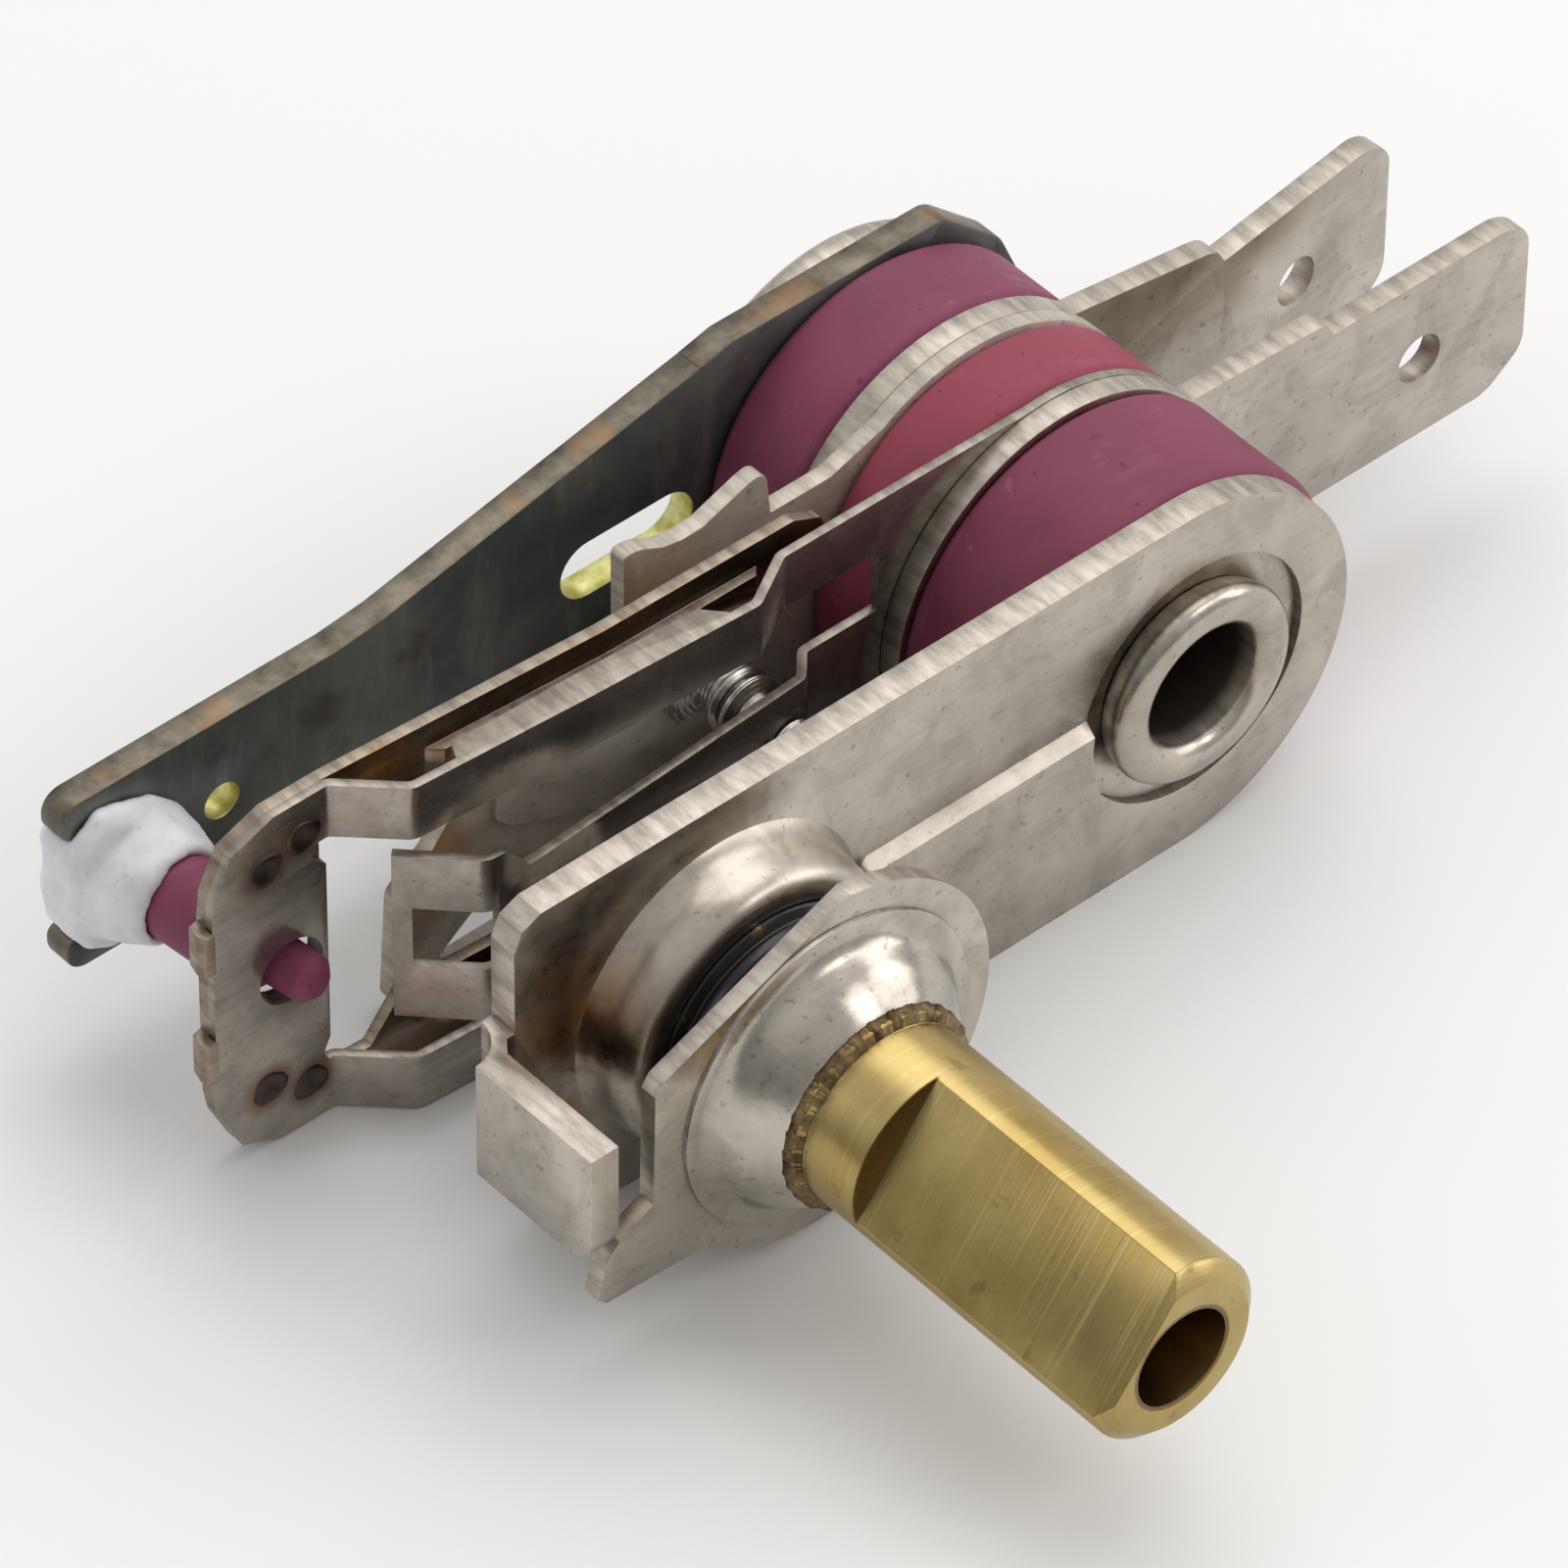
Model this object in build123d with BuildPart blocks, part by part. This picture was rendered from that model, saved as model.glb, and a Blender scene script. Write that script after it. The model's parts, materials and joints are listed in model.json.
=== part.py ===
"""Adjustable bimetal thermostat with a D-shaft, two push-on terminals and a ceramic-insulated contact stack.

Millimetres. +X runs along the plates towards the terminals, +Y is depth into the stack away from the shaft,
+Z is across the plates. The origin is on the tube rivet's axis, at the front face of the bracket.
"""

import math
import os

from build123d import *

# ---------------------------------------------------------------- driving dimensions
half_w = 6.5  # half width of the bracket
ring_r = 6.4  # ceramic and terminal rings
bracket_t = 1.0
bracket_left = -25.75
bracket_right_c = -0.4  # centre of the bracket's round end
ear_outer = -27.4
ear_front = -5.2
ear_z0, ear_z1 = -1.9, 2.4

spindle_x = -18.43  # shaft axis
thread_r = 3.90
boss_bore_r = 3.95
boss_r = 4.95
boss_front = -2.3

# stack, front to back
y_c1 = (1.0, 5.7)
y_t1 = (5.7, 6.5)
y_blade = (6.5, 6.8)
y_c2 = (6.8, 9.6)
y_arm = (9.6, 10.2)
y_t2 = (10.2, 11.0)
y_c3 = (11.0, 14.35)
y_bim = (14.35, 15.35)
y_washer = (15.35, 16.65)
hub_r = 3.4
hub_hole_r = 3.45
tube_or, tube_ir = 2.4, 2.1
ring_bore_r = 2.45

tab_w, tab_t, tab_hole_r = 6.3, 0.8, 0.83
t1_tab_x0, t1_tab_x1, t1_hole_x = 11.0, 18.8, 14.4

hinge_x = -6.5  # bending line of the spring and of the bimetal
split = 0.06  # half of the slit left at each bending line

blade_t = 0.3
arm_in, arm_out = 4.4, 6.4  # the two arms of the spring, across the plate
end_left, end_right = -30.2, -26.05
end_y = 7.85
tongue_w = 2.1  # half width
contact_x, contact_r = -10.6, 1.12

pin_x, pin_hole_r = -27.4, 1.15
pin_lean = math.radians(8.0)  # the pin's rear end is set further left
shaft_r, shaft_end = 3.0, -19.66
flat_d, flat_y0 = 1.81, -9.41
flat_angle = 142.0
shaft_bore_r = 1.62
collar_r = 6.2
collar_y = (-4.8, -4.2)

os.makedirs("parts", exist_ok=True)


def at_y(y):
    """Sketch plane at depth y: local x is X, local y is Z, and it extrudes towards -Y."""
    return Plane.XZ.offset(-y)


def bent_profile(points, inner_radius, t):
    """The two sides of a bent sheet's edge profile.

    points run along the sheet's front face towards -X; the thickness lies on the +Y side.
    Returns the front points and radii, and the back points and radii, as concentric bends.
    """
    def unit(a, b):
        length = math.hypot(b[0] - a[0], b[1] - a[1])
        return ((b[0] - a[0]) / length, (b[1] - a[1]) / length)

    back, front_r, back_r = [], [], []
    n = len(points)
    for i, p in enumerate(points):
        if i == 0:
            d = unit(points[0], points[1])
            nrm = (d[1], -d[0])
            back.append((p[0] + nrm[0] * t, p[1] + nrm[1] * t))
        elif i == n - 1:
            d = unit(points[-2], points[-1])
            nrm = (d[1], -d[0])
            back.append((p[0] + nrm[0] * t, p[1] + nrm[1] * t))
        else:
            d0, d1 = unit(points[i - 1], p), unit(p, points[i + 1])
            n0, n1 = (d0[1], -d0[0]), (d1[1], -d1[0])
            k = t / (1 + n0[0] * n1[0] + n0[1] * n1[1])
            back.append((p[0] + (n0[0] + n1[0]) * k, p[1] + (n0[1] + n1[1]) * k))
            right_turn = d0[0] * d1[1] - d0[1] * d1[0] < 0
            front_r.append(inner_radius + (t if right_turn else 0))
            back_r.append(inner_radius + (0 if right_turn else t))
    return points, front_r, back, back_r


# ---------------------------------------------------------------- front bracket
with BuildPart() as front_bracket:
    with BuildSketch(at_y(bracket_t)):
        with BuildLine():
            Polyline(
                (bracket_right_c, half_w), (bracket_left + 1.0, half_w), (bracket_left + 0.3, half_w - 0.3),
                (bracket_left, half_w - 1.0), (bracket_left, -2.6), (bracket_left + 1.2, -4.9),
                (bracket_left + 3.2, -half_w + 0.25), (bracket_left + 4.2, -half_w), (bracket_right_c, -half_w),
            )
            ThreePointArc(
                (bracket_right_c, -half_w), (bracket_right_c + half_w, 0), (bracket_right_c, half_w)
            )
        make_face()
    extrude(amount=bracket_t)
    # drawn boss for the spindle thread
    with BuildSketch(Plane.XY):
        with BuildLine():
            Polyline(
                (spindle_x + boss_bore_r - 0.6, 0.6), (spindle_x + boss_r + 0.9, 0.6),
                (spindle_x + boss_r + 0.9, 0.0), (spindle_x + boss_r + 0.35, -0.2),
                (spindle_x + boss_r + 0.08, -0.6), (spindle_x + boss_r - 0.02, boss_front + 0.75),
                (spindle_x + boss_r - 0.16, boss_front + 0.32), (spindle_x + boss_r - 0.38, boss_front + 0.08),
                (spindle_x + boss_r - 0.62, boss_front), (spindle_x + boss_bore_r - 0.6, boss_front), close=True,
            )
        make_face()
    revolve(axis=Axis((spindle_x, 0, 0), (0, 1, 0)))
    # embossed rib between the boss and the rivet seat
    with BuildSketch(at_y(0.1)) as rib_base:
        with Locations((-8.3, -0.6)):
            Rectangle(10.4, 3.2)
        fillet(rib_base.vertices(), 0.5)
    with BuildSketch(at_y(-0.45)) as rib_top:
        with Locations((-8.3, -0.6)):
            Rectangle(9.5, 2.4)
        fillet(rib_top.vertices(), 0.35)
    loft()
    # coined seat of the rivet's front head
    with BuildSketch(at_y(0.35)):
        Circle(4.3)
    extrude(amount=2, mode=Mode.SUBTRACT)
    # rivet hole and spindle hole
    with BuildSketch(at_y(3)):
        Circle(ring_bore_r)
        with Locations((spindle_x, 0)):
            Circle(boss_bore_r)
    extrude(amount=8, mode=Mode.SUBTRACT)
    # stop ear, bent forward
    with BuildSketch(Plane.XY.offset(ear_z0)):
        with BuildLine():
            Polyline(
                (bracket_left + 0.3, bracket_t), (ear_outer + 1.25, bracket_t),
            )
            RadiusArc((ear_outer + 1.25, bracket_t), (ear_outer, bracket_t - 1.25), 1.25)
            Polyline(
                (ear_outer, bracket_t - 1.25), (ear_outer, ear_front), (ear_outer + 1.0, ear_front),
                (ear_outer + 1.0, -0.45), (ear_outer + 1.35, 0.0), (bracket_left + 0.3, 0.0), (bracket_left + 0.3, bracket_t),
            )
        make_face()
    extrude(amount=ear_z1 - ear_z0)
    ear_edges = front_bracket.edges().filter_by(Axis.X).filter_by_position(Axis.Y, ear_front - 0.01, ear_front + 0.01)
    fillet(ear_edges.sort_by(Axis.Z)[0:1], 1.1)
front_bracket.part.label = "front_bracket"

# ---------------------------------------------------------------- hollow rivet and rear washer
with BuildPart() as tube_rivet:
    with BuildSketch(Plane.XY):
        with BuildLine():
            Polyline((tube_ir, -0.35), (tube_ir, 17.0))
            Spline((tube_ir, 17.0), (2.45, 17.37), (3.0, 17.25), (3.35, 16.8))
            Polyline((3.35, 16.8), (3.3, y_washer[1]), (tube_or, y_washer[1]), (tube_or, 0.35), (3.3, 0.35), (3.42, -0.15))
            Spline((3.42, -0.15), (3.33, -0.5), (2.9, -0.74), (2.4, -0.68), (tube_ir, -0.35))
        make_face()
    revolve(axis=Axis.Y)
tube_rivet.part.label = "tube_rivet"

with BuildPart() as rear_washer:
    with BuildSketch(Plane.XY):
        with BuildLine():
            Polyline(
                (ring_bore_r, y_washer[0]), (5.75, y_washer[0]), (6.0, y_washer[0] + 0.25),
                (6.0, y_washer[1] - 0.55), (5.82, y_washer[1] - 0.2), (5.4, y_washer[1]),
                (ring_bore_r, y_washer[1]), close=True,
            )
        make_face()
    revolve(axis=Axis.Y)
rear_washer.part.label = "rear_washer"


# ---------------------------------------------------------------- ceramic rings
def ceramic_profile(y0, y1, hub):
    """Half profile of an insulating ring, with an optional hub that carries the live plates."""
    e = 0.3
    if hub:
        return [
            (ring_bore_r, y0), (ring_r - e, y0), (ring_r, y0 + e), (ring_r, y1 - e), (ring_r - e, y1),
            (hub_r, y1), (hub_r, y1 + hub), (ring_bore_r, y1 + hub),
        ]
    return [
        (ring_bore_r, y0), (ring_r - e, y0), (ring_r, y0 + e), (ring_r, y1 - e), (ring_r - e, y1), (ring_bore_r, y1),
    ]


with BuildPart() as ceramic_front:
    with BuildSketch(Plane.XY):
        with BuildLine():
            Polyline(*ceramic_profile(*y_c1, 1.05), close=True)
        make_face()
    revolve(axis=Axis.Y)
ceramic_front.part.label = "ceramic_front"

with BuildPart() as ceramic_middle:
    with BuildSketch(Plane.XY):
        with BuildLine():
            Polyline(*ceramic_profile(*y_c2, 1.35), close=True)
        make_face()
    revolve(axis=Axis.Y)
ceramic_middle.part.label = "ceramic_middle"

with BuildPart() as ceramic_rear:
    with BuildSketch(Plane.XY):
        with BuildLine():
            Polyline(*ceramic_profile(*y_c3, 0), close=True)
        make_face()
    revolve(axis=Axis.Y)
ceramic_rear.part.label = "ceramic_rear"

# ---------------------------------------------------------------- terminals
with BuildPart() as terminal_front:
    with BuildSketch(at_y(y_t1[1])) as t1s:
        Circle(ring_r)
        with BuildLine():
            Polyline(
                (0, 6.2), (2.2, 5.6), (4.6, 3.95), (t1_tab_x0 - 0.45, 3.75), (t1_tab_x0 - 0.3, tab_w / 2),
                (t1_tab_x1 - 0.8, tab_w / 2), (t1_tab_x1, tab_w / 2 - 0.6), (t1_tab_x1, -tab_w / 2 + 1.15),
                (t1_tab_x1 - 1.5, -tab_w / 2), (6.6, -tab_w / 2), (5.6, -3.6), (0, -6.2), close=True,
            )
        make_face()
        Circle(hub_hole_r, mode=Mode.SUBTRACT)
        with Locations((t1_hole_x, 0)):
            Circle(tab_hole_r, mode=Mode.SUBTRACT)
    extrude(amount=tab_t)
terminal_front.part.label = "terminal_front"

t2_bend_x, t2_end = 10.6, 18.3
t2_yaw = math.radians(7.5)
with BuildPart() as terminal_rear:
    # edge profile, bent back where the tab starts
    with BuildSketch(Plane.XY.offset(-ring_r)):
        with BuildLine():
            x2 = t2_bend_x + (t2_end - t2_bend_x) * math.cos(t2_yaw)
            y2 = y_t2[0] + (t2_end - t2_bend_x) * math.sin(t2_yaw)
            nx, ny = -math.sin(t2_yaw) * tab_t, math.cos(t2_yaw) * tab_t
            kx = -math.tan(t2_yaw / 2) * tab_t
            Polyline(
                (-ring_r, y_t2[0]), (t2_bend_x, y_t2[0]), (x2, y2), (x2 + nx, y2 + ny),
                (t2_bend_x + kx, y_t2[1]), (-ring_r, y_t2[1]), close=True,
            )
        make_face()
    extrude(amount=2 * ring_r)
    with BuildSketch(at_y(14)):
        Circle(ring_r)
        with BuildLine():
            Polyline(
                (0, 6.2), (2.2, 5.8), (4.4, 4.6), (t2_bend_x - 0.35, 3.75), (t2_bend_x - 0.1, tab_w / 2),
                (x2 - 1.0, tab_w / 2), (x2, tab_w / 2 - 0.75), (x2, -tab_w / 2 + 0.75), (x2 - 1.0, -tab_w / 2),
                (6.6, -tab_w / 2), (5.6, -3.6), (0, -6.2), close=True,
            )
        make_face()
        Circle(hub_hole_r, mode=Mode.SUBTRACT)
        with Locations((t1_hole_x - 0.45, 0)):
            Circle(tab_hole_r, mode=Mode.SUBTRACT)
    extrude(amount=6, mode=Mode.INTERSECT)
terminal_rear.part.label = "terminal_rear"

# ---------------------------------------------------------------- contact spring, three nodes of one sheet
with BuildPart() as blade_root:
    with BuildSketch(at_y(y_blade[1])) as brs:
        Circle(ring_r)
        with BuildLine():
            Polyline(
                (0.9, arm_out - 0.05), (hinge_x + split, arm_out), (hinge_x + split, -arm_out), (0.9, -arm_out + 0.05),
                close=True,
            )
        make_face()
        Circle(hub_hole_r, mode=Mode.SUBTRACT)
    extrude(amount=blade_t)
blade_root.part.label = "blade_root"

frame_path = [
    (hinge_x - split, y_blade[0]), (-10.1, y_blade[0]), (-11.9, 5.45), (-18.0, 5.75), (-24.2, 6.15), (-25.95, end_y),
    (end_left, end_y),
]
with BuildPart() as blade_frame:
    fp, fr, bp, br = bent_profile(frame_path, 0.3, blade_t)
    with BuildSketch(Plane.XY.offset(-arm_out)):
        with BuildLine():
            front = FilletPolyline(*fp, radius=fr)
            rear = FilletPolyline(*bp, radius=br)
            Line(fp[0], bp[0])
            Line(fp[-1], bp[-1])
        make_face()
    extrude(amount=2 * arm_out)
    # outline of the end plate, and the window between the arms
    with BuildSketch(at_y(12)) as frame_out:
        with BuildLine():
            Polyline(
                (-5, arm_out), (end_left + 2.3, arm_out), (end_left + 0.75, arm_out - 0.6), (end_left + 0.1, arm_out - 1.9),
                (end_left, 3.5), (end_left, -3.5), (end_left + 0.15, -arm_out + 2.1), (end_left + 0.85, -arm_out + 0.6),
                (end_left + 2.3, -arm_out), (-5, -arm_out), close=True,
            )
        make_face()
        with BuildLine():
            Polyline(
                (-5, arm_in), (end_right - 0.45, arm_in), (end_right - 0.45, arm_in - 0.6), (end_right, arm_in - 1.0),
                (end_right, -arm_in + 0.9), (end_right - 0.25, -arm_in + 0.35), (end_right - 0.1, -arm_in), (-5, -arm_in),
                close=True,
            )
        make_face(mode=Mode.SUBTRACT)
        with Locations((pin_x, 0)):
            Circle(pin_hole_r, mode=Mode.SUBTRACT)
    extrude(amount=12, mode=Mode.INTERSECT)
    # stiffening flange folded back along the outer edge of each arm
    for s in (1, -1):
        with BuildSketch(Plane.XY.offset(arm_out - 0.3 if s > 0 else -arm_out)):
            with BuildLine():
                Polyline(
                    (-12.6, 5.6), (-18.0, 5.85), (-22.6, 6.14), (-22.2, 6.9), (-18.0, 6.75), (-13.4, 6.5), close=True
                )
            make_face()
        extrude(amount=0.3)
blade_frame.part.label = "blade_frame"

tongue_path = [
    (hinge_x - split, y_blade[0]), (-9.2, y_blade[0]), (-9.95, 5.68), (-20.3, 5.1), (-22.4, 5.05), (-24.35, 7.05),
]
with BuildPart() as contact_tongue:
    fp, fr, bp, br = bent_profile(tongue_path, 0.2, blade_t)
    fr[-1] = 0.8
    br[-1] = 0.5 if br[-1] < fr[-1] else 1.1
    with BuildSketch(Plane.XY.offset(-3.2)):
        with BuildLine():
            FilletPolyline(*fp, radius=fr)
            FilletPolyline(*bp, radius=br)
            Line(fp[0], bp[0])
            Line(fp[-1], bp[-1])
        make_face()
    extrude(amount=6.4)
    with BuildSketch(at_y(9)) as tongue_out:
        with BuildLine():
            Polyline(
                (-6, tongue_w), (-20.9, tongue_w), (-21.7, 3.2), (-25.5, 3.2), (-25.5, -3.2), (-21.7, -3.2),
                (-20.9, -tongue_w), (-6, -tongue_w), close=True,
            )
        make_face()
        with Locations((-23.0, 0)):
            Rectangle(1.9, 2.3, mode=Mode.SUBTRACT)
        with Locations((contact_x, 0)):
            Circle(0.55, mode=Mode.SUBTRACT)
    extrude(amount=8, mode=Mode.INTERSECT)
contact_tongue.part.label = "contact_tongue"

# ribbed strip frame behind the end plate
stiff_t = 0.4
stiff_path = [(-7.5, 7.45), (-16.0, 7.55), (-25.9, end_y + blade_t), (end_left, end_y + blade_t)]
with BuildPart() as frame_stiffener:
    fp, fr, bp, br = bent_profile(stiff_path, 1.0, stiff_t)
    with BuildSketch(Plane.XY.offset(-arm_out)):
        with BuildLine():
            FilletPolyline(*fp, radius=fr)
            FilletPolyline(*bp, radius=br)
            Line(fp[0], bp[0])
            Line(fp[-1], bp[-1])
        make_face()
    extrude(amount=2 * arm_out)
    with BuildSketch(at_y(12)) as stiff_out:
        with BuildLine():
            Polyline(
                (-8.9, arm_out), (end_left + 2.3, arm_out), (end_left + 0.75, arm_out - 0.6),
                (end_left + 0.1, arm_out - 1.9), (end_left, 3.5), (end_left, -3.5), (end_left + 0.15, -arm_out + 2.1),
                (end_left + 0.85, -arm_out + 0.6), (end_left + 2.3, -arm_out), (-8.9, -arm_out), (-7.9, -arm_out + 0.45),
                (-7.5, -arm_out + 1.4), (-7.9, -arm_out + 2.3), (-8.9, -3.7), (-23.3, -3.7), (-24.4, -5.2),
                (end_right, -5.2), (end_right, 5.2), (-24.4, 5.2), (-23.3, 3.7), (-8.9, 3.7), (-7.9, arm_out - 2.3),
                (-7.5, arm_out - 1.4), (-7.9, arm_out - 0.45), close=True,
            )
        make_face()
        with Locations((pin_x, 0)):
            Circle(pin_hole_r, mode=Mode.SUBTRACT)
    extrude(amount=12, mode=Mode.INTERSECT)
    # pressed ribs along both strips
    for s in (1, -1):
        with BuildSketch(Plane.XY.offset(s * 5.05 - 0.45)):
            with BuildLine():
                Polyline(
                    (-10.2, 7.6), (-10.6, 7.16), (-16.0, 7.22), (-21.9, 7.52), (-22.4, 7.98), (-16.0, 7.7), close=True
                )
            make_face()
        extrude(amount=0.9)
    # two ears crimped forward round the end plate's left edge
    for z in (2.6, -1.7):
        with BuildSketch(Plane.XY.offset(z - 0.75)):
            with BuildLine():
                Polyline(
                    (end_left + 0.1, end_y + blade_t + stiff_t), (end_left - 0.36, end_y + 0.6), (end_left - 0.48, end_y + 0.15),
                    (end_left - 0.36, end_y - 0.14), (end_left - 0.04, end_y - 0.18), (end_left - 0.04, end_y + blade_t),
                    (end_left + 0.1, end_y + blade_t), close=True,
                )
            make_face()
        extrude(amount=1.5)
frame_stiffener.part.label = "frame_stiffener"

# ---------------------------------------------------------------- fixed-contact arm and the two contacts
pad_front = y_arm[0] - 0.25
with BuildPart() as contact_arm:
    with BuildSketch(at_y(y_arm[1])) as arm_s:
        Circle(ring_r)
        with BuildLine():
            Polyline(
                (-1.0, 6.2), (-5.6, 4.6), (-7.9, 4.6), (-8.05, 6.1), (-8.35, 6.35), (-8.8, 6.25), (-9.6, 5.95), (-10.5, 5.62),
                (-11.3, 5.6), (-12.0, 5.75), (-12.9, 6.2), (-13.5, 6.25), (-13.5, 3.0), (-17.8, 2.4), (-19.4, 0.9),
                (-20.8, -0.9), (-22.1, -2.0), (-22.35, -6.0), (-21.9, -6.4), (-13.0, -6.3), (-6.0, -5.4), (-1.0, -6.2),
                close=True,
            )
        make_face()
        Circle(hub_hole_r, mode=Mode.SUBTRACT)
        with BuildLine():
            Polyline((-19.3, -4.3), (-20.6, -5.3), (-20.2, -5.75), (-14.0, -5.75), (-14.0, -4.3), close=True)
        make_face(mode=Mode.SUBTRACT)
        with Locations((contact_x, 0)):
            Circle(0.65, mode=Mode.SUBTRACT)
    extrude(amount=y_arm[1] - y_arm[0])
    # raised pad under the contact
    with BuildSketch(at_y(y_arm[0] + 0.1)):
        with BuildLine():
            Polyline(
                (-8.4, 3.2), (-12.6, 3.4), (-17.4, 1.9), (-18.5, 0.7), (-18.55, -0.9), (-17.9, -1.5), (-13.4, -3.4),
                (-8.4, -3.4), close=True,
            )
        make_face()
        with Locations((contact_x, 0)):
            Circle(0.65, mode=Mode.SUBTRACT)
    extrude(amount=0.35)
contact_arm.part.label = "contact_arm"

with BuildPart() as fixed_contact:
    with BuildSketch(Plane.XY):
        with BuildLine():
            Polyline(
                *[(contact_x + r, y) for r, y in [
                    (0, 7.72), (0.8, 7.75), (contact_r, 7.88), (contact_r, 8.12), (0.75, 8.2), (0.75, pad_front - 0.45),
                    (1.5, pad_front - 0.3), (1.65, pad_front), (0.65, pad_front), (0.65, y_arm[1] + 0.05), (0, y_arm[1] + 0.05),
                ]],
                close=True,
            )
        make_face()
    revolve(axis=Axis((contact_x, 0, 0), (0, 1, 0)))
fixed_contact.part.label = "fixed_contact"

tongue_slope = (5.1 - 5.68) / (-20.3 + 9.95)
tongue_y = 5.68 + tongue_slope * (contact_x + 9.95)  # front face of the tongue at the contact
with BuildPart() as moving_contact:
    with BuildSketch(Plane.XY):
        with BuildLine():
            Polyline(
                *[(contact_x + r, y) for r, y in [
                    (0, tongue_y - 0.42), (0.5, tongue_y - 0.38), (0.8, tongue_y - 0.2), (0.85, tongue_y - 0.06),
                    (0.55, tongue_y - 0.05), (0.55, 6.58), (0.75, 6.75), (0.75, 7.2), (contact_r, 7.34),
                    (contact_r, 7.54), (0.8, 7.65), (0, 7.68),
                ]],
                close=True,
            )
        make_face()
    revolve(axis=Axis((contact_x, 0, 0), (0, 1, 0)))
moving_contact.part.label = "moving_contact"

# ---------------------------------------------------------------- bimetal plate, clamp part and free strip
with BuildPart() as bimetal_clamp:
    with BuildSketch(at_y(y_bim[1])):
        with BuildLine():
            Polyline(
                (hinge_x + split, 6.1), (-5.3, 6.4), (3.0, 6.4), (5.3, 4.3), (6.3, 2.0), (6.3, -2.0), (5.3, -4.3), (3.0, -6.4),
                (-5.3, -6.4), (hinge_x + split, -6.1), close=True,
            )
        make_face()
        Circle(ring_bore_r, mode=Mode.SUBTRACT)
    extrude(amount=y_bim[1] - y_bim[0])
bimetal_clamp.part.label = "bimetal_clamp"

with BuildPart() as bimetal_strip:
    with BuildSketch(at_y(y_bim[1])) as strip_s:
        with BuildLine():
            Polyline(
                (hinge_x - split, 6.08), (-18.6, 3.5), (-20.2, 3.33), (-30.0, 3.3), (-30.4, 2.9), (-30.4, 2.1), (-29.4, 1.75),
                (-27.4, 1.7), (-26.7, 1.2), (-26.5, 0.0), (-26.7, -1.2), (-27.4, -1.7), (-29.4, -1.75), (-30.4, -2.0),
                (-30.4, -2.8), (-30.0, -3.2), (-20.2, -3.25), (-18.6, -3.45), (hinge_x - split, -6.08), close=True,
            )
        make_face()
        with Locations((-9.3, 0.75)):
            SlotOverall(5.05, 2.05, mode=Mode.SUBTRACT)
        with Locations((-24.6, 0.1)):
            Circle(0.62, mode=Mode.SUBTRACT)
    extrude(amount=y_bim[1] - y_bim[0])
bimetal_strip.part.label = "bimetal_strip"

pin_shoulder = end_y + blade_t + stiff_t + 0.04  # depth just behind the stiffener
pin_plane = Plane(
    origin=(pin_x, pin_shoulder, 0), x_dir=(math.cos(pin_lean), math.sin(pin_lean), 0), z_dir=(0, 0, 1)
)
with BuildPart() as push_pin:
    with BuildSketch(pin_plane):
        with BuildLine():
            Polyline(
                (0, -1.75), (0.45, -1.72), (0.76, -1.4), (0.8, 0.05), (1.1, 0.17), (1.4, 0.5), (1.4, 2.4),
                (1.34, 4.6), (1.3, 7.3), (0, 7.3), close=True,
            )
        make_face()
    revolve(axis=Axis(pin_plane.origin, pin_plane.y_dir))
push_pin.part.label = "push_pin"

with BuildPart() as pin_cement:
    # web between the plate's two prongs
    with BuildSketch(at_y(15.7)) as cem_s:
        with BuildLine():
            Polyline(
                (-30.45, 1.5), (-30.1, 2.35), (-29.3, 2.8), (-28.1, 2.6), (-27.2, 2.1), (-26.5, 1.3), (-26.3, 0.2),
                (-26.5, -1.0), (-27.1, -1.9), (-28.1, -2.45), (-29.4, -2.55), (-30.1, -2.2), (-30.45, -1.4), close=True,
            )
        make_face()
    extrude(amount=2.1)
    chamfer(pin_cement.edges().group_by(Axis.Y)[0], 0.4)
    chamfer(pin_cement.edges().group_by(Axis.Y)[-1], 0.3)
    # collar drawn forward along the pin
    with BuildSketch(pin_plane):
        with BuildLine():
            Polyline((0, 3.6), (1.5, 3.6), (1.72, 3.85), (1.95, 4.6), (2.15, 5.4), (2.2, 7.0), (0, 7.0), close=True)
        make_face()
    revolve(axis=Axis(pin_plane.origin, pin_plane.y_dir))
    add(bimetal_strip.part, mode=Mode.SUBTRACT)
    add(push_pin.part, mode=Mode.SUBTRACT)
pin_cement.part.label = "pin_cement"

# ---------------------------------------------------------------- adjuster: spindle, stop collar, screw and tip
crest, root_r, pitch = thread_r, thread_r - 0.28, 0.8
thread = [(crest, 1.9)]
y = 1.9
while y - pitch > collar_y[1] - 0.01:
    thread += [(crest, y - 0.30), (root_r, y - 0.5), (root_r, y - 0.58), (crest, y - pitch + 0.02)]
    y -= pitch
with BuildPart() as shaft:
    with BuildSketch(Plane.XY):
        with BuildLine():
            Polyline(
                *[(spindle_x + r, yy) for r, yy in (
                    [(1.3, 2.2), (crest - 0.3, 2.2)] + thread + [
                        (crest, collar_y[1]), (3.0, collar_y[1]), (3.0, -6.85), (3.3, -6.95), (3.3, -7.15), (3.0, -7.3),
                        (shaft_r, shaft_end + 0.45), (shaft_r - 0.5, shaft_end), (shaft_bore_r, shaft_end),
                        (shaft_bore_r, -2.6), (1.3, -2.6),
                    ])],
                close=True,
            )
        make_face()
    revolve(axis=Axis((spindle_x, 0, 0), (0, 1, 0)))
    # flat of the D section
    ca, sa = math.cos(math.radians(flat_angle)), math.sin(math.radians(flat_angle))
    with BuildSketch(Plane(origin=(spindle_x + ca * flat_d, flat_y0, sa * flat_d), x_dir=(-sa, 0, ca), z_dir=(0, -1, 0))):
        with Locations((0, -3)):
            Rectangle(8, 6)
    extrude(amount=12, mode=Mode.SUBTRACT)
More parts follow.
